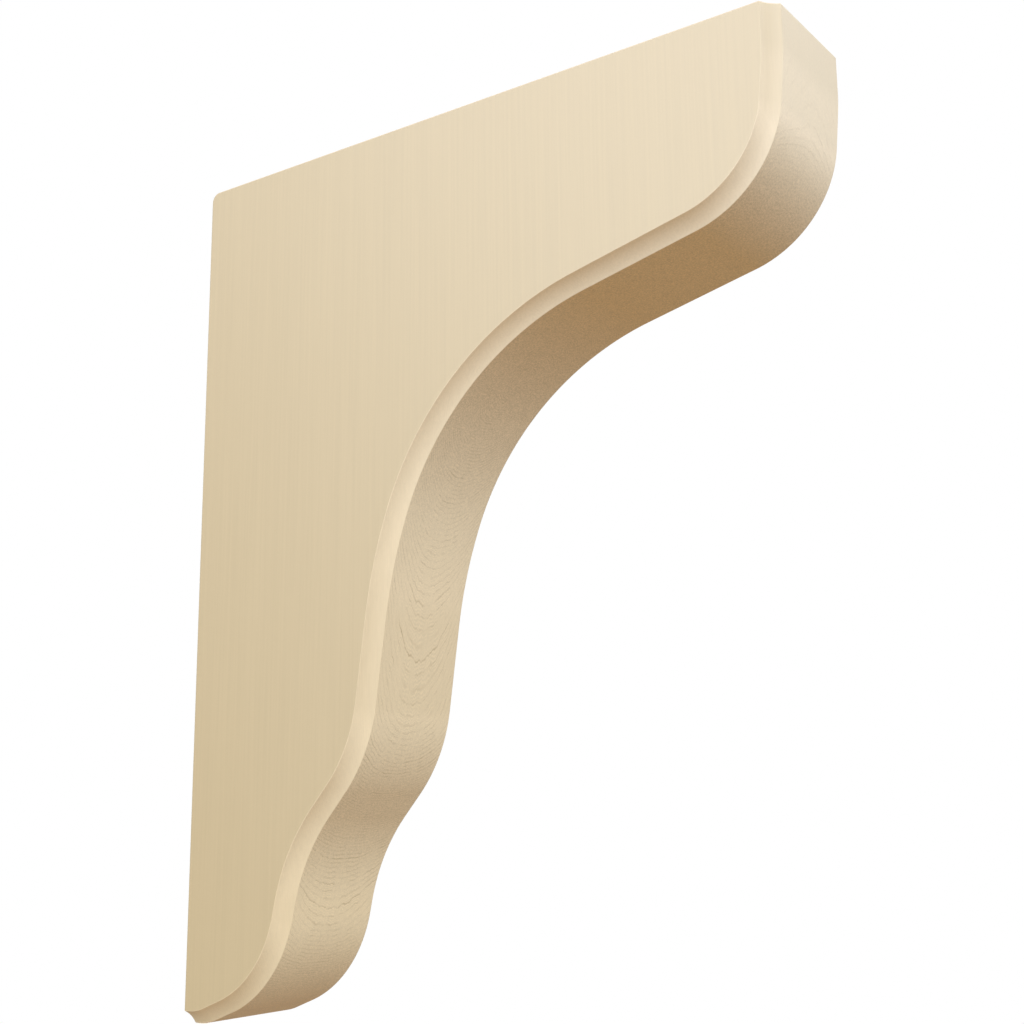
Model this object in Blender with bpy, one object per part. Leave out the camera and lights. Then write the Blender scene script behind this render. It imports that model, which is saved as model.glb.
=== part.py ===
"""Wooden corbel bracket: one sawn block with a scrolled front and a cove run along both of its front edges.

X runs across the thickness, Y from the front to the wall, and Z up. The origin is the middle of the back
face, which stands against the wall. Lengths are in metres.
"""

import math

import bmesh
import bpy
from mathutils import Matrix, Vector

# Overall sizes
PROJECTION = 0.2032
HEIGHT = 0.2667
THICKNESS = 0.04445

# Shallow cove along both front edges: how far it reaches across the front and in from the front, the
# radius of its hollow, and the easing of the edges that it leaves and of the square edges
COVE_WIDTH = 0.0046
COVE_DEPTH = 0.00385
COVE_RADIUS = 0.0095
COVE_EASING = 0.0003
EDGE_EASING = 0.0004

# Corners of the front outline before they are rounded, from the top to the foot.
# Depths are measured from the wall, drops from the top and heights from the foot.
NOSE_TOP_DROP = 0.0137
NOSE_TOP_RADIUS = 0.067
NOSE_DEPTH = 0.2
NOSE_DROP = 0.0497
NOSE_RADIUS = 0.033
CROWN_DEPTH = 0.097
CROWN_DROP = 0.0752
CROWN_RADIUS = 0.088
HAUNCH_DEPTH = 0.076
HAUNCH_HEIGHT = 0.1325
HAUNCH_RADIUS = 0.136
SHOULDER_DEPTH = 0.0685
SHOULDER_HEIGHT = 0.079
SHOULDER_RADIUS = 0.048
WAIST_DEPTH = 0.0435
WAIST_HEIGHT = 0.0505
WAIST_RADIUS = 0.057
FOOT_DEPTH = 0.035
FOOT_HEIGHT = 0.012
FOOT_RADIUS = 0.039
SOLE_DEPTH = 0.0055
SOLE_RADIUS = 0.021

# Rounding of the corner where the top meets the back
BACK_CORNER_RADIUS = 0.003

# How finely the curves are divided
OUTLINE_STEP = math.radians(3)
BACK_CORNER_STEPS = 6
COVE_STEPS = 5
COVE_EASING_STEPS = 2
EDGE_EASING_STEPS = 2

# Angles between neighbouring faces: under the first they are one plane, over the second they meet at a
# square edge, and over the third the shading breaks
FLAT_ANGLE = math.radians(0.1)
SQUARE_ANGLE = math.radians(80)
CREASE_ANGLE = math.radians(40)

# Finish
WOOD_COLOUR = (0.72, 0.58, 0.39, 1)
WOOD_ROUGHNESS = 0.55


def front_corners():
    """Square corners of the front outline, top to foot, each as its place (depth, height) and its radius."""
    return [
        (Vector((PROJECTION, HEIGHT - NOSE_TOP_DROP)), NOSE_TOP_RADIUS),
        (Vector((NOSE_DEPTH, HEIGHT - NOSE_DROP)), NOSE_RADIUS),
        (Vector((CROWN_DEPTH, HEIGHT - CROWN_DROP)), CROWN_RADIUS),
        (Vector((HAUNCH_DEPTH, HAUNCH_HEIGHT)), HAUNCH_RADIUS),
        (Vector((SHOULDER_DEPTH, SHOULDER_HEIGHT)), SHOULDER_RADIUS),
        (Vector((WAIST_DEPTH, WAIST_HEIGHT)), WAIST_RADIUS),
        (Vector((FOOT_DEPTH, FOOT_HEIGHT)), FOOT_RADIUS),
        (Vector((SOLE_DEPTH, 0)), SOLE_RADIUS),
    ]


def front_outline():
    """Points down the rounded front, from the top to the wall, each with the direction out of the wood."""
    corners = front_corners()
    stops = [Vector((PROJECTION, HEIGHT)), *(place for place, _ in corners), Vector((0, 0))]
    runs = [(after - before).normalized() for before, after in zip(stops, stops[1:])]
    turns = [math.atan2(a.cross(b), a.dot(b)) for a, b in zip(runs, runs[1:])]
    reaches = [radius * math.tan(abs(turn) / 2) for (_, radius), turn in zip(corners, turns)]
    reaches = fitted_reaches(stops, reaches)

    points = [(stops[0], out_of_wood(runs[0]))]
    for place, run, turn, reach in zip(stops[1:], runs, turns, reaches):
        radius = reach / math.tan(abs(turn) / 2)
        bulge = -math.copysign(radius, turn)
        normal = out_of_wood(run)
        centre = place - run * reach - normal * bulge
        steps = math.ceil(abs(turn) / OUTLINE_STEP)
        for step in range(steps + 1):
            direction = Matrix.Rotation(turn * step / steps, 2) @ normal
            points.append((centre + direction * bulge, direction))
    points.append((stops[-1], out_of_wood(runs[-1])))
    return points


def out_of_wood(run):
    """Direction square to a stretch of the outline that is walked with the wood on its right."""
    return Vector((-run.y, run.x))


def fitted_reaches(stops, reaches):
    """How far each rounding runs along its two stretches, limited where two roundings share a short one."""
    ends = [0, *reaches, 0]
    lengths = [(after - before).length for before, after in zip(stops, stops[1:])]
    room = [min(1, length / (a + b)) for length, a, b in zip(lengths, ends, ends[1:])]
    return [reach * min(before, after) for reach, before, after in zip(reaches, room, room[1:])]


def arc(centre, radius, start, end, steps):
    """Points along an arc, both ends included."""
    angles = [start + (end - start) * step / steps for step in range(steps + 1)]
    return [centre + radius * Vector((math.cos(angle), math.sin(angle))) for angle in angles]


def bearing(start, end):
    """Angle from one point to another, from nothing up to a full turn."""
    return math.atan2(end.y - start.y, end.x - start.x) % math.tau


def cove_centre():
    """Centre of the hollow, outside the square corner and as far from both ends of the cove."""
    chord = Vector((COVE_WIDTH, -COVE_DEPTH))
    middle = Vector((COVE_WIDTH, COVE_DEPTH)) / 2
    outwards = Vector((-COVE_DEPTH, -COVE_WIDTH)).normalized()
    return middle + outwards * math.sqrt(COVE_RADIUS**2 - (chord.length / 2) ** 2)


def moulded_edge():
    """Section of one front edge, from the side face round to the front.

    Each point gives its distances from the face and from the front. The cove is an arc about a centre outside
    the square corner, and a small round eases the edge at each of its ends.
    """
    hollow = cove_centre()
    reach = COVE_RADIUS + COVE_EASING
    face_round = Vector((COVE_EASING, hollow.y + math.sqrt(reach**2 - (COVE_EASING - hollow.x) ** 2)))
    front_round = Vector((hollow.x + math.sqrt(reach**2 - (COVE_EASING - hollow.y) ** 2), COVE_EASING))
    at_face = arc(face_round, COVE_EASING, math.pi, bearing(face_round, hollow), COVE_EASING_STEPS)
    cove = arc(hollow, COVE_RADIUS, bearing(hollow, face_round), bearing(hollow, front_round), COVE_STEPS)
    at_front = arc(front_round, COVE_EASING, bearing(front_round, hollow), 1.5 * math.pi, COVE_EASING_STEPS)
    return at_face + cove[1:-1] + at_front


def sections():
    """Places across the thickness, face to face, each with how far the front is drawn in there."""
    edge = moulded_edge()
    near = [(from_face - THICKNESS / 2, drawn_in) for from_face, drawn_in in edge]
    far = [(-across, drawn_in) for across, drawn_in in reversed(near)]
    return near + far


def back_corner():
    """Rounded corner from the back up to the top."""
    centre = Vector((BACK_CORNER_RADIUS, HEIGHT - BACK_CORNER_RADIUS))
    return arc(centre, BACK_CORNER_RADIUS, math.pi, math.pi / 2, BACK_CORNER_STEPS)


def add_ring(bm, outline, across, drawn_in):
    """Edges round the block at one place across the thickness."""
    places = [point - out * drawn_in for point, out in outline] + back_corner()
    verts = [bm.verts.new((across, -depth, height - HEIGHT / 2)) for depth, height in places]
    return [bm.edges.new(pair) for pair in zip(verts, verts[1:] + verts[:1])]


def merge_flat_faces(bm):
    """Makes one face of those that lie side by side in one plane, such as the strips of the top."""
    bmesh.ops.dissolve_limit(bm, angle_limit=FLAT_ANGLE, verts=bm.verts, edges=bm.edges)


def ease_edges(bm):
    """Rounds the square edges round the top and the back."""
    square = [edge for edge in bm.edges if edge.calc_face_angle() > SQUARE_ANGLE]
    bmesh.ops.bevel(
        bm,
        geom=square,
        affect="EDGES",
        offset=EDGE_EASING,
        segments=EDGE_EASING_STEPS,
        profile=0.5,
        material=-1,
    )


def bracket_mesh():
    """The block: rings across the thickness joined into a skin and closed by the two side faces."""
    bm = bmesh.new()
    outline = front_outline()
    rings = [add_ring(bm, outline, across, drawn_in) for across, drawn_in in sections()]
    for ring, following in zip(rings, rings[1:]):
        bmesh.ops.bridge_loops(bm, edges=ring + following)
    for ring in (rings[0], rings[-1]):
        bmesh.ops.edgeloop_fill(bm, edges=ring)
    bmesh.ops.recalc_face_normals(bm, faces=bm.faces)
    merge_flat_faces(bm)
    ease_edges(bm)
    mesh = bpy.data.meshes.new("bracket")
    bm.to_mesh(mesh)
    bm.free()
    mesh.shade_smooth()
    mesh.set_sharp_from_angle(angle=CREASE_ANGLE)
    return mesh


def wood():
    """Pale bare wood with a satin surface."""
    material = bpy.data.materials.new("wood")
    material.use_nodes = True
    shader = material.node_tree.nodes["Principled BSDF"]
    shader.inputs["Base Color"].default_value = WOOD_COLOUR
    shader.inputs["Roughness"].default_value = WOOD_ROUGHNESS
    shader.inputs["Metallic"].default_value = 0
    return material


def main():
    """Clears the scene and adds the bracket."""
    for old in list(bpy.data.objects):
        bpy.data.objects.remove(old)
    bracket = bpy.data.objects.new("bracket", bracket_mesh())
    bracket.data.materials.append(wood())
    bpy.context.scene.collection.objects.link(bracket)


main()
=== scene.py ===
"""Looks of a moulded wooden corbel bracket: the finely rounded block, its bare satin wood and a pale stage.

X runs across the thickness, Y from the front to the wall, and Z up. The origin is the middle of the back
face, as in the frame. Lengths are in metres.
"""

import math

import bmesh
import bpy
from bpy.props import FloatProperty, FloatVectorProperty, IntProperty, PointerProperty
from mathutils import Matrix, Vector


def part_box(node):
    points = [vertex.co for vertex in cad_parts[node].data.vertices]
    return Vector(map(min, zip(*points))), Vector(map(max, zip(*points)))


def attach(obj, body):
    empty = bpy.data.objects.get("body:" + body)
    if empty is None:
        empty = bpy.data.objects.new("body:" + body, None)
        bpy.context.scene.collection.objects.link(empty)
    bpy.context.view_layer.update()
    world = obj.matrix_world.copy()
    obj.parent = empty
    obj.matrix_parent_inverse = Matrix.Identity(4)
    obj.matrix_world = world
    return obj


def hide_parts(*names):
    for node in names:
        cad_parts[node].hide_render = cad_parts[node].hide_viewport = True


bl_info = {
    "name": "Corbel bracket",
    "version": (1, 0, 0),
    "blender": (4, 5, 0),
    "location": "3D View > Sidebar > Corbel",
    "description": "A moulded wooden corbel bracket and a pale stage to show it on",
    "category": "Object",
}

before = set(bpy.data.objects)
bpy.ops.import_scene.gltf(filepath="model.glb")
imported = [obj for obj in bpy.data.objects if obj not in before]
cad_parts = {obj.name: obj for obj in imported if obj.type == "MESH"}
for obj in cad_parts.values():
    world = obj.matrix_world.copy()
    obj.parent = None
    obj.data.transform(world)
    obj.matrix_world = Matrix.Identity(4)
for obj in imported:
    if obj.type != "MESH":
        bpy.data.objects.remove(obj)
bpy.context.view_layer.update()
LOWEST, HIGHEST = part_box("bracket")

# Two places closer than this are the same place
NEAR = 0.00001
# The front is swept this much further than the wall, as a share of its last run, and trimmed there
OVERRUN = 1.1
# Points closer than this are made one
MERGED = 0.000001
# Faces that meet at more than this stand square to each other
SQUARE_ANGLE = math.radians(80)
# The shading breaks where faces meet at more than this
CREASE_ANGLE = math.radians(40)
# The camera sees nothing closer than this
NEAREST_SEEN = 0.01

# How fine each noise in the wood is, in features per metre along X, Y and Z
DRIFT_FINENESS = (35, 35, 9)
RAGGED_FINENESS = (480, 480, 100)
PATCH_FINENESS = (300, 300, 120)
TONE_FINENESS = (300, 300, 0)
SPECKLE_FINENESS = (2100, 2100, 2100)
# Nearly all of a noise lies between these
NOISE_LOW = 0.3
NOISE_HIGH = 0.7

# How far through a growth ring its dark line is darkest
LINE_CREST = 0.93
# How far the lines and the fine layers stray along their length, in rings and in layers
RING_STRAY = 0.2
LAYER_STRAY = 0.9
# Strength of the weakest line, and how rare the strong ones are
WEAKEST_LINE = 0.42
STRONG_LINE_RARITY = 5.0
# How far a line lies under the fibres, as a share of their relief
LINE_SINK = 0.5
# How far the tone between the lines and the roughness swing to either side
TONE_SWING = 0.004
ROUGHNESS_SWING = 0.04

# Ramps. Each runs from its first value to its second, and gives what stands third up to what stands fourth.
# A cut is 0 along the fibres and 1 across them, a side is 1 where the face looks sideways, and a foot is 1
# at the foot and 0 at the nose.
PATCH_RAMP = (0.38, 0.6, 0.1, 1)
SPREAD_BY_CUT = (0.1, 0.5, 0.26, 0.5)
# Painted light: faces that slant from the sides to the front turn to a lighter copy of the long-grain
# colour
PAINTED_LIGHT_BY_CUT = (0, 0.2, 0, 1)
END_BY_CUT = (0.25, 1, 0, 1)
END_BY_SIDE = (0.05, 0.6, 1, 0.7)
DETAIL_BY_SIDE = (0.05, 0.5, 1, 0.2)
RINGS_BY_CUT = (0, 0.12, 0.12, 1)
RINGS_BY_FOOT = (0.15, 0.45, 0.45, 1)
SPECKLE_BY_CUT = (0.1, 0.8, 0.15, 1)
# How late the end grain's colour comes in as the cut turns square
END_LATENESS = 1.6
# Way in which the painted shade fades and the wood grows paler, from the foot towards the nose
TO_NOSE = (0, -1, 1)


def length(name, default, description):
    """A size in metres for the sidebar."""
    return FloatProperty(name=name, default=default, description=description, unit="LENGTH", precision=5)


def angle(name, default, description):
    """An angle for the sidebar, with its default in degrees."""
    return FloatProperty(name=name, default=math.radians(default), description=description, unit="ROTATION")


def amount(name, default, description):
    """A plain number for the sidebar."""
    return FloatProperty(name=name, default=default, description=description, precision=3)


def count(name, default, description):
    """A whole number for the sidebar."""
    return IntProperty(name=name, default=default, min=1, description=description)


def colour(name, default, description):
    """A colour for the sidebar."""
    return FloatVectorProperty(
        name=name, default=default, description=description, subtype="COLOR", size=3, min=0, max=1
    )


class CorbelBlock(bpy.types.PropertyGroup):
    """Overall sizes of the block, and how its edges are treated."""

    projection: length("Projection", HIGHEST.y - LOWEST.y, "From the wall to the front of the nose")
    height: length("Height", HIGHEST.z - LOWEST.z, "From the sole of the foot to the top")
    thickness: length("Thickness", HIGHEST.x - LOWEST.x, "From one side face to the other")
    cove_width: length("Cove width", 0.0046, "From the side face to the cove's edge on the front")
    cove_depth: length("Cove depth", 0.00385, "From the front to the cove's edge on the side face")
    cove_radius: length("Cove radius", 0.0095, "Radius of the shallow hollow down both front edges")
    cove_easing: length("Cove easing", 0.0003, "Rounding of the two edges that the cove leaves")
    edge_easing: length("Edge easing", 0.0004, "Rounding of the square edges round the top and the back")
    back_corner: length("Back corner", 0.003, "Rounding where the top meets the back")
    outline_step: angle("Outline step", 1, "Turn of the front between two rows of faces")
    cove_steps: count("Cove steps", 12, "Faces round the cove")
    easing_steps: count("Easing steps", 4, "Faces round each eased edge")


class CorbelOutline(bpy.types.PropertyGroup):
    """Square corners of the front outline before they are rounded."""

    nose_top_drop: length("Nose top drop", 0.0137, "From the top to where the nose starts to lean")
    nose_top_radius: length("Nose top radius", 0.067, "Rounding there")
    nose_depth: length("Nose depth", 0.2, "From the wall to the lower corner of the nose")
    nose_drop: length("Nose drop", 0.0497, "From the top to the lower corner of the nose")
    nose_radius: length("Nose radius", 0.033, "Rounding there")
    crown_depth: length("Crown depth", 0.097, "From the wall to the crown of the arch")
    crown_drop: length("Crown drop", 0.0752, "From the top to the crown of the arch")
    crown_radius: length("Crown radius", 0.088, "Rounding there")
    haunch_depth: length("Haunch depth", 0.076, "From the wall to the haunch of the arch")
    haunch_height: length("Haunch height", 0.1325, "From the sole to the haunch")
    haunch_radius: length("Haunch radius", 0.136, "Rounding there")
    shoulder_depth: length("Shoulder depth", 0.0685, "From the wall to the shoulder")
    shoulder_height: length("Shoulder height", 0.079, "From the sole to the shoulder")
    shoulder_radius: length("Shoulder radius", 0.048, "Rounding there")
    waist_depth: length("Waist depth", 0.0435, "From the wall to the waist")
    waist_height: length("Waist height", 0.0505, "From the sole to the waist")
    waist_radius: length("Waist radius", 0.057, "Rounding there")
    foot_depth: length("Foot depth", 0.035, "From the wall to the front of the foot")
    foot_height: length("Foot height", 0.012, "From the sole to the front of the foot")
    foot_radius: length("Foot radius", 0.039, "Rounding there")
    sole_depth: length("Sole depth", 0.0055, "From the wall to where the sole starts")
    sole_radius: length("Sole radius", 0.021, "Rounding there")


class CorbelWood(bpy.types.PropertyGroup):
    """Colours and grain of the bare wood, with painted light on the slanting faces and painted shade at the
    foot.
    """

    long_grain: colour("Long grain", (0.567, 0.482, 0.349), "Where the surface runs along the fibres")
    # Painted light: a lighter copy of the long-grain colour for the slanting front faces
    slant_painted_light: colour("Slant painted light", (0.715, 0.61, 0.462), "Where the surface cuts the fibres on a slant")
    end_grain: colour("End grain", (0.575, 0.337, 0.125), "Where the surface cuts the fibres square across")
    # Painted shade: the wood is made yellower and darker towards the foot, and left as it is at the nose
    foot_painted_shade: colour("Foot painted shade", (0.956, 0.895, 0.742), "Painted shade at the foot, none at the nose")
    late_wood: colour("Late wood", (0.25, 0.15, 0.06), "Thin dark lines that close the growth rings")
    line_depth: amount("Line depth", 0.5, "How strongly the growth rings show")
    layer_depth: amount("Layer depth", 0.06, "How strongly the fine layers within the rings show")
    speckle_depth: amount("Speckle depth", 0.15, "How strongly the cut ends of the fibres show")
    streak_depth: amount("Streak depth", 0.024, "How strongly the fibres show")
    pith_depth: length("Pith depth", 0.11, "From the wall to the middle of the growth rings")
    ring_width: length("Ring width", 0.0006, "From one growth ring to the next")
    layer_width: length("Layer width", 0.00018, "From one fine layer of a ring to the next")
    ring_waver: length("Ring waver", 0.0016, "How far the growth rings stray from true circles")
    fibre_width: length("Fibre width", 0.0008, "Across a bundle of fibres")
    fibre_length: length("Fibre length", 0.06, "Along a bundle of fibres")
    roughness: amount("Roughness", 0.5, "Satin of the sanded surface")
    relief: length("Relief", 0.00001, "How far the fibres stand proud")


class CorbelStage(bpy.types.PropertyGroup):
    """Floor, lights and camera."""

    floor_colour: colour("Floor", (0.8, 0.8, 0.8), "Plain pale floor")
    floor_roughness: amount("Floor roughness", 0.9, "Matt surface of the floor")
    floor_drop: length("Floor drop", 0.48, "From the sole of the foot down to the floor")
    floor_width: length("Floor width", 4, "Across the square floor")
    light_distance: length("Light distance", 1.4, "From the middle of the bracket to each light")
    light_width: length("Light width", 1, "Across each square light")
    side_power: amount("Side light", 13.3, "High on the near side and a little behind, in watts")
    side_turn: angle("Side light turn", -108, "From straight in front, past the near side")
    side_lift: angle("Side light lift", 35, "Up from level")
    near_power: amount("Near light", 8.9, "Low on the near side, in watts")
    near_turn: angle("Near light turn", -60, "From straight in front towards the near side")
    near_lift: angle("Near light lift", 10, "Up from level")
    front_power: amount("Front light", 11.5, "High in front towards the near side, in watts")
    front_turn: angle("Front light turn", -36, "From straight in front towards the near side")
    front_lift: angle("Front light lift", 35, "Up from level")
    far_power: amount("Far light", 14.0, "High in front towards the far side, in watts")
    far_turn: angle("Far light turn", 36, "From straight in front towards the far side")
    far_lift: angle("Far light lift", 35, "Up from level")
    camera_x: length("Camera X", -0.33729, "Camera place across the thickness")
    camera_y: length("Camera Y", -0.33957, "Camera place from the wall")
    camera_z: length("Camera Z", -0.06463, "Camera place over the middle of the back")
    camera_heading: angle("Heading", -51.716, "Turn of the camera from facing the wall squarely")
    camera_tilt: angle("Tilt", 11.499, "How far the camera looks up")
    camera_roll: angle("Roll", 0.227, "Turn of the camera round its own line of sight")
    lens: amount("Lens", 50.7, "Focal length in millimetres on a sensor 36 mm wide")
    shift_x: amount("Shift across", 0.0875, "Sideways shift of the picture, as a share of its width")
    shift_y: amount("Shift up", -0.0124, "Upward shift of the picture, as a share of its width")


def front_corners(block, shape):
    """Square corners of the front outline, top to foot: the place (depth, height) and radius of each."""
    top = block.height
    return [
        (Vector((block.projection, top - shape.nose_top_drop)), shape.nose_top_radius),
        (Vector((shape.nose_depth, top - shape.nose_drop)), shape.nose_radius),
        (Vector((shape.crown_depth, top - shape.crown_drop)), shape.crown_radius),
        (Vector((shape.haunch_depth, shape.haunch_height)), shape.haunch_radius),
        (Vector((shape.shoulder_depth, shape.shoulder_height)), shape.shoulder_radius),
        (Vector((shape.waist_depth, shape.waist_height)), shape.waist_radius),
        (Vector((shape.foot_depth, shape.foot_height)), shape.foot_radius),
        (Vector((shape.sole_depth, 0)), shape.sole_radius),
    ]


def front_moves(block, shape):
    """Moves down the front: the run to each corner, its rounding centre and its turn, then the last run.

    Turns to the left are positive, with depth counted to the right and height up.
    """
    corners = front_corners(block, shape)
    stops = [Vector((block.projection, block.height)), *(place for place, _ in corners), Vector((0, 0))]
    runs = [(after - before).normalized() for before, after in zip(stops, stops[1:])]
    turns = [math.atan2(a.cross(b), a.dot(b)) for a, b in zip(runs, runs[1:])]
    reaches = [radius * math.tan(abs(turn) / 2) for (_, radius), turn in zip(corners, turns)]
    reaches = fitted_reaches(stops, reaches)

    moves = []
    at = stops[0]
    for place, run, turn, reach in zip(stops[1:], runs, turns, reaches):
        start = place - run * reach
        sideways = Vector((-run.y, run.x)) * math.copysign(reach / math.tan(abs(turn) / 2), turn)
        moves.append((start - at, start + sideways, turn))
        at = start + sideways + Matrix.Rotation(turn, 2) @ -sideways
    return moves, stops[-1] - at


def fitted_reaches(stops, reaches):
    """How far each rounding runs along its two stretches, limited where two roundings share a short one."""
    ends = [0, *reaches, 0]
    lengths = [(after - before).length for before, after in zip(stops, stops[1:])]
    room = [min(1, stretch / (a + b)) for stretch, a, b in zip(lengths, ends, ends[1:])]
    return [reach * min(before, after) for reach, before, after in zip(reaches, room, room[1:])]


def turn_on(bm, geom, centre, axis, turn, steps):
    """Sweeps points or edges round an axis, and gives what stands at the end."""
    return bmesh.ops.spin(
        bm, geom=geom, cent=centre, axis=axis, dvec=(0, 0, 0), angle=turn, steps=steps, use_duplicate=False
    )["geom_last"]


def push_on(bm, edges, way):
    """Sweeps edges in a straight line, and gives what stands at the end."""
    swept = bmesh.ops.extrude_edge_only(bm, edges=edges)["geom"]
    verts = [part for part in swept if isinstance(part, bmesh.types.BMVert)]
    bmesh.ops.translate(bm, verts=verts, vec=way)
    return swept


def only_edges(parts):
    """The edges among some parts of a mesh."""
    return [part for part in parts if isinstance(part, bmesh.types.BMEdge)]


def bearing(start, end):
    """Angle from one point to another, seen from above."""
    return math.atan2(end.y - start.y, end.x - start.x)


def cove_centres(block):
    """Centres of the three rounds of one moulded edge, each from the square corner.

    They are the easing at the side face, the hollow of the cove and the easing at the front.
    """
    chord = Vector((block.cove_width, -block.cove_depth))
    outwards = Vector((-block.cove_depth, -block.cove_width)).normalized()
    middle = Vector((block.cove_width, block.cove_depth)) / 2
    hollow = middle + outwards * math.sqrt(block.cove_radius**2 - (chord.length / 2) ** 2)
    reach, easing = block.cove_radius + block.cove_easing, block.cove_easing
    at_face = Vector((easing, hollow.y + math.sqrt(reach**2 - (easing - hollow.x) ** 2)))
    at_front = Vector((hollow.x + math.sqrt(reach**2 - (easing - hollow.y) ** 2), easing))
    return at_face, hollow, at_front


def add_section(bm, block):
    """Section of the moulded front at the top: one half turned round its three centres, then mirrored."""
    up = Vector((0, 0, 1))
    corner = Vector((-block.thickness / 2, -block.projection, block.height / 2))
    at_face, hollow, at_front = cove_centres(block)
    face_turn = bearing(at_face, hollow) + math.pi
    cove_turn = bearing(hollow, at_front) - bearing(hollow, at_face)
    front_turn = -math.pi / 2 - bearing(at_front, hollow)

    end = [bm.verts.new(corner + Vector((0, at_face.y, 0)))]
    end = turn_on(bm, end, corner + at_face.to_3d(), up, face_turn, block.easing_steps)
    end = turn_on(bm, end, corner + hollow.to_3d(), up, cove_turn, block.cove_steps)
    end = turn_on(bm, end, corner + at_front.to_3d(), up, front_turn, block.easing_steps)
    middle = bm.verts.new((0, -block.projection, block.height / 2))
    bm.edges.new((end[0], middle))
    half = bm.verts[:] + bm.edges[:]
    bmesh.ops.mirror(bm, geom=half, matrix=Matrix.Identity(4), merge_dist=NEAR, axis="X")
    return bm.edges[:]


def sweep_front(bm, section, block, shape):
    """Carries the section down the front, straight along each stretch and round each corner."""
    moves, last_run = front_moves(block, shape)
    for run, centre, turn in moves:
        section = only_edges(push_on(bm, section, (0, -run.x, run.y)))
        section = far_edges(section)
        pivot = Vector((0, -centre.x, centre.y - block.height / 2))
        steps = math.ceil(abs(turn) / block.outline_step)
        ends = {vert for edge in section for vert in edge.verts}
        section = only_edges(turn_on(bm, [*ends, *section], pivot, (1, 0, 0), -turn, steps))
    push_on(bm, section, (0, -last_run.x * OVERRUN, last_run.y * OVERRUN))
    trim_at_wall(bm)


def trim_at_wall(bm):
    """Cuts the swept front off flat where it meets the wall."""
    parts = bm.verts[:] + bm.edges[:] + bm.faces[:]
    bmesh.ops.bisect_plane(bm, geom=parts, plane_co=(0, 0, 0), plane_no=(0, 1, 0), clear_outer=True)


def far_edges(edges):
    """The edges that have a face on one side only and don't run along the sweep."""
    return [edge for edge in edges if len(edge.link_faces) == 1]


def add_back_corner(bm, block):
    """Rounded corner from the top down to the back."""
    half, radius, top = block.thickness / 2, block.back_corner, block.height / 2
    ends = [bm.verts.new((across, -radius, top)) for across in (-half, half)]
    edge = bm.edges.new(ends)
    turn_on(bm, [*ends, edge], (0, -radius, top - radius), (1, 0, 0), -math.pi / 2, 2 * block.easing_steps)


def extreme(verts, way):
    """The vertex that stands furthest along a direction."""
    return max(verts, key=lambda vert: vert.co.dot(Vector(way)))


def in_plane(bm, axis, place):
    """Edges that lie in the plane square to an axis at a place."""
    return [edge for edge in bm.edges if all(abs(vert.co[axis] - place) < NEAR for vert in edge.verts)]


def close_block(bm, block):
    """Joins the back corner to the front and fills the sides, the top and the back."""
    half, top = block.thickness / 2, block.height / 2
    for across in (-half, half):
        side = [vert for vert in bm.verts if abs(vert.co.x - across) < NEAR]
        level = [vert for vert in side if abs(vert.co.z - top) < NEAR]
        upright = [vert for vert in side if abs(vert.co.y) < NEAR]
        bm.edges.new((extreme(level, (0, -1, 0)), extreme(level, (0, 1, 0))))
        bm.edges.new((extreme(upright, (0, 0, -1)), extreme(upright, (0, 0, 1))))
    for axis, place in ((0, -half), (0, half), (1, 0), (2, top)):
        bmesh.ops.edgeloop_fill(bm, edges=in_plane(bm, axis, place))


def ease_edges(bm, block):
    """Rounds the square edges round the top and the back."""
    square = [edge for edge in bm.edges if edge.calc_face_angle() > SQUARE_ANGLE]
    bmesh.ops.bevel(
        bm,
        geom=square,
        affect="EDGES",
        offset=block.edge_easing,
        segments=block.easing_steps,
        profile=0.5,
        material=-1,
    )


def corner_normals(mesh):
    """Direction out of the wood at each face corner, led by the largest face that meets it smoothly."""
    around = [[] for _ in mesh.vertices]
    for face in mesh.polygons:
        for vert in face.vertices:
            around[vert].append(face)
    least = math.cos(CREASE_ANGLE)
    normals = [Vector() for _ in mesh.loops]
    for face in mesh.polygons:
        for corner, vert in zip(face.loop_indices, face.vertices):
            for other in around[vert]:
                if other.normal.dot(face.normal) > least:
                    normals[corner] += other.normal * other.area
    return [normal.normalized() for normal in normals]


def mark_grain(mesh, normals):
    """Keeps how far each point of the surface faces up or down, and how far sideways, each from 0 to 1."""
    for name, axis in (("end_grain", 2), ("side_grain", 0)):
        attribute = mesh.attributes.new(name, "FLOAT", "CORNER")
        attribute.data.foreach_set("value", [abs(normal[axis]) for normal in normals])


def bracket_mesh(block, shape):
    """The whole block as one closed skin."""
    bm = bmesh.new()
    section = add_section(bm, block)
    sweep_front(bm, section, block, shape)
    add_back_corner(bm, block)
    close_block(bm, block)
    bmesh.ops.remove_doubles(bm, verts=bm.verts, dist=MERGED)
    bmesh.ops.recalc_face_normals(bm, faces=bm.faces)
    ease_edges(bm, block)
    mesh = bpy.data.meshes.new("corbel")
    bm.to_mesh(mesh)
    bm.free()
    mesh.shade_smooth()
    normals = corner_normals(mesh)
    mesh.normals_split_custom_set(normals)
    mark_grain(mesh, normals)
    return mesh


def add_node(tree, kind, **settings):
    """A shader node with its settings."""
    node = tree.nodes.new(kind)
    for name, value in settings.items():
        setattr(node, name, value)
    return node


def feed(tree, node, sockets):
    """Links or sets a node's inputs, each named by its label or its number."""
    for name, value in sockets.items():
        socket = node.inputs[name]
        if isinstance(value, bpy.types.NodeSocket):
            tree.links.new(value, socket)
        else:
            socket.default_value = value
    return node


def sums(tree, operation, *values):
    """Result of one Math node."""
    node = add_node(tree, "ShaderNodeMath", operation=operation)
    return feed(tree, node, dict(enumerate(values))).outputs[0]


def product(tree, first, *others):
    """Several values multiplied together."""
    for other in others:
        first = sums(tree, "MULTIPLY", first, other)
    return first


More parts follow.
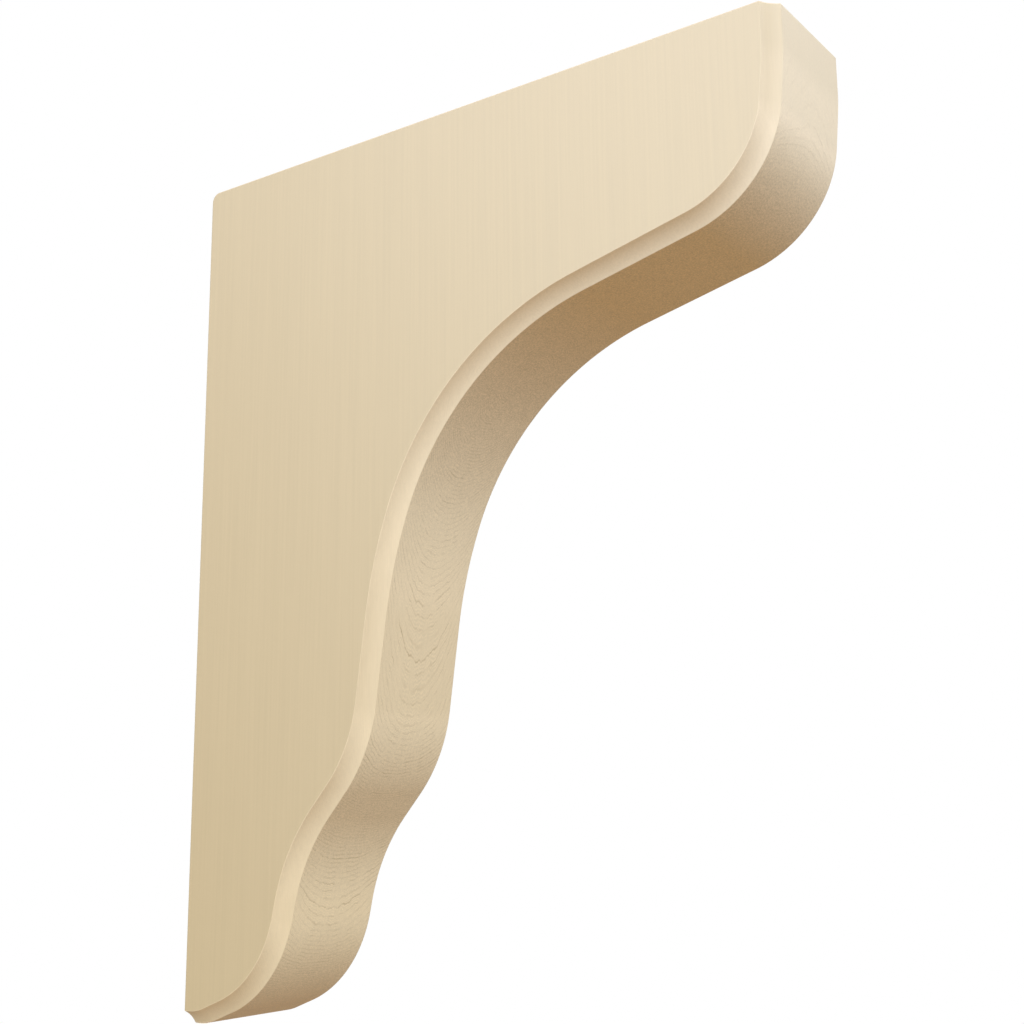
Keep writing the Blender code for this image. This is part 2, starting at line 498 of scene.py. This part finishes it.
def vector_sums(tree, operation, *values):
    """Result of one Vector Math node, a vector or a plain number."""
    node = feed(tree, add_node(tree, "ShaderNodeVectorMath", operation=operation), dict(enumerate(values)))
    return node.outputs["Value" if operation in ("LENGTH", "DOT_PRODUCT") else "Vector"]


def remap(tree, value, from_low, from_high, to_low=0.0, to_high=1.0, smooth=False):
    """A value moved from one range to another."""
    node = add_node(tree, "ShaderNodeMapRange", interpolation_type="SMOOTHSTEP" if smooth else "LINEAR")
    feed(tree, node, {"Value": value, "From Min": from_low, "From Max": from_high})
    return feed(tree, node, {"To Min": to_low, "To Max": to_high}).outputs["Result"]


def noise(tree, place, fineness, detail, roughness=0.5):
    """A cloudy pattern with so many features per metre along X, Y and Z: its value and its colour."""
    node = add_node(tree, "ShaderNodeTexNoise")
    spread = vector_sums(tree, "MULTIPLY", place, fineness)
    feed(tree, node, {"Vector": spread, "Scale": 1.0, "Detail": detail, "Roughness": roughness})
    return node.outputs["Fac"], node.outputs["Color"]


def swing(tree, noise_value, middle, reach):
    """A noise moved so that it swings about a middle, by the same reach to either side."""
    return remap(tree, noise_value, NOISE_LOW, NOISE_HIGH, middle - reach, middle + reach)


def blend(tree, mode, share, under, over):
    """Two colours mixed by a share."""
    node = add_node(tree, "ShaderNodeMix", data_type="RGBA", blend_type=mode)
    feed(tree, node, {0: share, 6: under, 7: over})
    return node.outputs[2]


def new_group(name, inputs, outputs):
    """An empty node group with its sockets, and its inner ends."""
    group = bpy.data.node_groups.new(name, "ShaderNodeTree")
    for label, kind, default in inputs:
        socket = group.interface.new_socket(label, in_out="INPUT", socket_type=kind)
        socket.default_value = default
    for label in outputs:
        group.interface.new_socket(label, in_out="OUTPUT", socket_type="NodeSocketFloat")
    return group, add_node(group, "NodeGroupInput").outputs, add_node(group, "NodeGroupOutput")


def place_group(tree, group, sockets):
    """A node group placed in a tree with its values."""
    return feed(tree, add_node(tree, "ShaderNodeGroup", node_tree=group), sockets).outputs


def growth_rings_group():
    """Growth rings round an upright pith: uneven dark lines, fine layers between them and a soft tone."""
    inputs = [
        ("Place", "NodeSocketVector", (0, 0, 0)),
        ("Pith", "NodeSocketVector", (0, 0, 0)),
        ("Ring width", "NodeSocketFloat", 0.001),
        ("Layer width", "NodeSocketFloat", 0.0003),
        ("Waver", "NodeSocketFloat", 0.001),
        ("Spread", "NodeSocketFloat", 0.3),
    ]
    group, given, out = new_group("growth rings", inputs, ["Line", "Layer", "Tone"])
    place = given["Place"]

    _, drift = noise(group, place, DRIFT_FINENESS, detail=1.5)
    drift = vector_sums(group, "SUBTRACT", drift, (0.5, 0.5, 0.5))
    scale = add_node(group, "ShaderNodeVectorMath", operation="SCALE")
    stray = feed(group, scale, {0: drift, "Scale": given["Waver"]}).outputs["Vector"]
    from_pith = vector_sums(group, "SUBTRACT", vector_sums(group, "ADD", place, stray), given["Pith"])
    from_pith = vector_sums(group, "MULTIPLY", from_pith, (1, 1, 0))
    radius = vector_sums(group, "LENGTH", from_pith)
    ragged, _ = noise(group, place, RAGGED_FINENESS, detail=3, roughness=0.6)
    patches, _ = noise(group, place, PATCH_FINENESS, detail=3, roughness=0.6)
    patches = remap(group, patches, *PATCH_RAMP)

    rings = sums(group, "DIVIDE", radius, given["Ring width"])
    rings = sums(group, "ADD", rings, swing(group, ragged, 0, RING_STRAY))
    share = sums(group, "FRACT", rings)
    rise = remap(group, share, sums(group, "SUBTRACT", 1.0, given["Spread"]), LINE_CREST, smooth=True)
    fall = remap(group, share, LINE_CREST, 1.0, 1.0, 0.0, smooth=True)
    shade = add_node(group, "ShaderNodeTexWhiteNoise", noise_dimensions="1D")
    feed(group, shade, {"W": sums(group, "FLOOR", rings)})
    strength = sums(group, "POWER", shade.outputs["Value"], STRONG_LINE_RARITY)
    strength = remap(group, strength, 0.0, 1.0, WEAKEST_LINE, 1.0)
    line = product(group, rise, fall, strength, patches)

    layers = sums(group, "DIVIDE", radius, given["Layer width"])
    layers = sums(group, "ADD", layers, swing(group, ragged, 0, LAYER_STRAY))
    layer = product(group, sums(group, "SINE", product(group, layers, math.tau)), patches)

    tone, _ = noise(group, from_pith, TONE_FINENESS, detail=1)
    feed(group, out, {"Line": line, "Layer": layer, "Tone": tone})
    return group


def fibres_group():
    """Fine streaks along the upright fibres, which show as speckle where the wood is cut across."""
    inputs = [
        ("Place", "NodeSocketVector", (0, 0, 0)),
        ("Fibre width", "NodeSocketFloat", 0.001),
        ("Fibre length", "NodeSocketFloat", 0.05),
    ]
    group, given, out = new_group("wood fibres", inputs, ["Streak", "Speckle"])
    across = sums(group, "DIVIDE", 1.0, given["Fibre width"])
    along = sums(group, "DIVIDE", 1.0, given["Fibre length"])
    fineness = add_node(group, "ShaderNodeCombineXYZ")
    fineness = feed(group, fineness, {"X": across, "Y": across, "Z": along}).outputs[0]
    streak, _ = noise(group, given["Place"], fineness, detail=3, roughness=0.6)
    speckle, _ = noise(group, given["Place"], SPECKLE_FINENESS, detail=1)
    feed(group, out, {"Streak": streak, "Speckle": speckle})
    return group


def wood_material(wood):
    """Bare satin wood with upright grain, darker where it is cut across, with painted light on the slanting
    faces and painted shade towards the foot.
    """
    material = bpy.data.materials.new("satin wood")
    material.use_nodes = True
    tree = material.node_tree
    shader = tree.nodes["Principled BSDF"]
    place = add_node(tree, "ShaderNodeTexCoord").outputs["Object"]
    cut = add_node(tree, "ShaderNodeAttribute", attribute_name="end_grain").outputs["Fac"]
    sideways = add_node(tree, "ShaderNodeAttribute", attribute_name="side_grain").outputs["Fac"]

    rings = place_group(
        tree,
        growth_rings_group(),
        {
            "Place": place,
            "Pith": (0, -wood.pith_depth, 0),
            "Ring width": wood.ring_width,
            "Layer width": wood.layer_width,
            "Waver": wood.ring_waver,
            "Spread": remap(tree, cut, *SPREAD_BY_CUT),
        },
    )
    fibres = place_group(
        tree,
        fibres_group(),
        {"Place": place, "Fibre width": wood.fibre_width, "Fibre length": wood.fibre_length},
    )

    end_share = sums(tree, "POWER", remap(tree, cut, *END_BY_CUT), END_LATENESS)
    end_share = product(tree, end_share, remap(tree, sideways, *END_BY_SIDE))
    # 1 at the foot and 0 at the nose: it sets the painted shade at the foot and how strongly the growth
    #                                  rings show
    foot_share = vector_sums(tree, "DOT_PRODUCT", place, TO_NOSE)
    foot_share = remap(tree, foot_share, LOWEST.z, HIGHEST.z - LOWEST.y, 1.0, 0.0)
    # Painted light: the slanting faces are given the lighter copy of the long-grain colour
    painted_light_share = remap(tree, cut, *PAINTED_LIGHT_BY_CUT)
    base = blend(tree, "MIX", painted_light_share, (*wood.long_grain, 1), (*wood.slant_painted_light, 1))
    base = blend(tree, "MIX", end_share, base, (*wood.end_grain, 1))
    # Painted shade: yellower and darker towards the foot
    base = blend(tree, "MULTIPLY", foot_share, base, (*wood.foot_painted_shade, 1))

    frontal = remap(tree, sideways, *DETAIL_BY_SIDE)
    crossing = product(tree, remap(tree, cut, *RINGS_BY_CUT), frontal)
    crossing = product(tree, crossing, remap(tree, foot_share, *RINGS_BY_FOOT))
    speckle = swing(tree, fibres["Speckle"], 0, wood.speckle_depth)
    speckle = product(tree, speckle, remap(tree, cut, *SPECKLE_BY_CUT), frontal)
    light = swing(tree, fibres["Streak"], 1, wood.streak_depth)
    light = sums(tree, "ADD", light, speckle)
    light = sums(tree, "ADD", light, product(tree, rings["Layer"], crossing, wood.layer_depth))
    light = product(tree, light, swing(tree, rings["Tone"], 1, TONE_SWING))
    base = blend(tree, "MULTIPLY", 1.0, base, light)
    line = product(tree, rings["Line"], crossing, wood.line_depth)
    base = blend(tree, "MIX", line, base, (*wood.late_wood, 1))

    height = sums(tree, "SUBTRACT", fibres["Streak"], product(tree, rings["Line"], LINE_SINK))
    bump = feed(tree, add_node(tree, "ShaderNodeBump"), {"Height": height, "Distance": wood.relief})
    roughness = swing(tree, fibres["Streak"], wood.roughness, ROUGHNESS_SWING)
    feed(tree, shader, {"Base Color": base, "Roughness": roughness, "Normal": bump.outputs["Normal"]})
    shader.inputs["Metallic"].default_value = 0
    return material


def floor_material(stage):
    """Plain pale matt floor."""
    material = bpy.data.materials.new("pale floor")
    material.use_nodes = True
    shader = material.node_tree.nodes["Principled BSDF"]
    shader.inputs["Base Color"].default_value = (*stage.floor_colour, 1)
    shader.inputs["Roughness"].default_value = stage.floor_roughness
    return material


def link(piece):
    """Puts a new object in the scene."""
    bpy.context.scene.collection.objects.link(piece)
    return piece


def add_floor(stage):
    """Square floor under the bracket."""
    bm = bmesh.new()
    bmesh.ops.create_grid(bm, x_segments=1, y_segments=1, size=stage.floor_width / 2)
    bmesh.ops.translate(bm, verts=bm.verts, vec=(0, 0, LOWEST.z - stage.floor_drop))
    mesh = bpy.data.meshes.new("floor")
    bm.to_mesh(mesh)
    bm.free()
    mesh.materials.append(floor_material(stage))
    link(bpy.data.objects.new("floor", mesh))


def add_surround():
    """Plain white behind the bracket, which the camera sees and which lights nothing."""
    world = bpy.data.worlds.new("surround")
    world.use_nodes = True
    tree = world.node_tree
    seen = add_node(tree, "ShaderNodeLightPath").outputs["Is Camera Ray"]
    feed(tree, tree.nodes["Background"], {"Color": (1, 1, 1, 1), "Strength": seen})
    bpy.context.scene.world = world


def add_light(stage, name, turn, lift, power):
    """Large square soft light that faces the middle of the bracket.

    Its turn is counted from straight in front, and its lift from level.
    """
    data = bpy.data.lights.new(name, "AREA")
    data.shape = "SQUARE"
    data.size = stage.light_width
    data.energy = power
    light = link(bpy.data.objects.new(name, data))
    centre = Vector((0, (LOWEST.y + HIGHEST.y) / 2, 0))
    aim = Matrix.Rotation(turn, 3, "Z") @ Matrix.Rotation(-lift, 3, "X")
    out = aim @ Vector((0, -stage.light_distance, 0))
    light.location = centre + out
    light.rotation_euler = (-out).to_track_quat("-Z", "Y").to_euler()


def add_camera(stage):
    """Camera below and in front of the bracket, looking up at its near side."""
    data = bpy.data.cameras.new("camera")
    data.lens = stage.lens
    data.shift_x = stage.shift_x
    data.shift_y = stage.shift_y
    data.clip_start = NEAREST_SEEN
    camera = link(bpy.data.objects.new("camera", data))
    heading = Matrix.Rotation(stage.camera_heading, 4, "Z")
    tilt = Matrix.Rotation(math.pi / 2 + stage.camera_tilt, 4, "X")
    roll = Matrix.Rotation(stage.camera_roll, 4, "Z")
    place = Matrix.Translation((stage.camera_x, stage.camera_y, stage.camera_z))
    camera.matrix_world = place @ heading @ tilt @ roll
    bpy.context.scene.camera = camera


class CORBEL_OT_bracket(bpy.types.Operator):
    """Model the bracket in one piece and finish it in bare wood"""

    bl_idname = "corbel.bracket"
    bl_label = "Make the bracket"

    def execute(self, context):
        scene = context.scene
        mesh = bracket_mesh(scene.corbel_block, scene.corbel_outline)
        corbel = link(bpy.data.objects.new("corbel", mesh))
        corbel.data.materials.append(wood_material(scene.corbel_wood))
        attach(corbel, "root")
        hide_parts("bracket")
        return {"FINISHED"}


class CORBEL_OT_stage(bpy.types.Operator):
    """Set up the floor, the lights and the camera"""

    bl_idname = "corbel.stage"
    bl_label = "Set up the stage"

    def execute(self, context):
        stage = context.scene.corbel_stage
        add_floor(stage)
        add_surround()
        add_light(stage, "side light", stage.side_turn, stage.side_lift, stage.side_power)
        add_light(stage, "near light", stage.near_turn, stage.near_lift, stage.near_power)
        add_light(stage, "front light", stage.front_turn, stage.front_lift, stage.front_power)
        add_light(stage, "far light", stage.far_turn, stage.far_lift, stage.far_power)
        add_camera(stage)
        context.scene.view_settings.view_transform = "Standard"
        return {"FINISHED"}


class CORBEL_PT_sidebar(bpy.types.Panel):
    """Sizes, colours and buttons in the sidebar"""

    bl_idname = "CORBEL_PT_sidebar"
    bl_label = "Corbel bracket"
    bl_space_type = "VIEW_3D"
    bl_region_type = "UI"
    bl_category = "Corbel"

    def draw(self, context):
        scene = context.scene
        parts = {
            "Block": (scene.corbel_block, None),
            "Front outline": (scene.corbel_outline, None),
            "Wood": (scene.corbel_wood, "corbel.bracket"),
            "Stage": (scene.corbel_stage, "corbel.stage"),
        }
        for title, (group, button) in parts.items():
            box = self.layout.box()
            box.label(text=title)
            for name in group.__annotations__:
                box.prop(group, name)
            if button:
                box.operator(button)


GROUPS = {
    "corbel_block": CorbelBlock,
    "corbel_outline": CorbelOutline,
    "corbel_wood": CorbelWood,
    "corbel_stage": CorbelStage,
}
CLASSES = [*GROUPS.values(), CORBEL_OT_bracket, CORBEL_OT_stage, CORBEL_PT_sidebar]


def register():
    """Adds the classes and the scene's settings."""
    for cls in CLASSES:
        bpy.utils.register_class(cls)
    for name, group in GROUPS.items():
        setattr(bpy.types.Scene, name, PointerProperty(type=group))


def unregister():
    """Takes away what register added."""
    for name in GROUPS:
        delattr(bpy.types.Scene, name)
    for cls in reversed(CLASSES):
        bpy.utils.unregister_class(cls)


def main():
    """Makes everything in order."""
    register()
    bpy.ops.corbel.bracket()
    bpy.ops.corbel.stage()


if __name__ == "__main__":
    main()
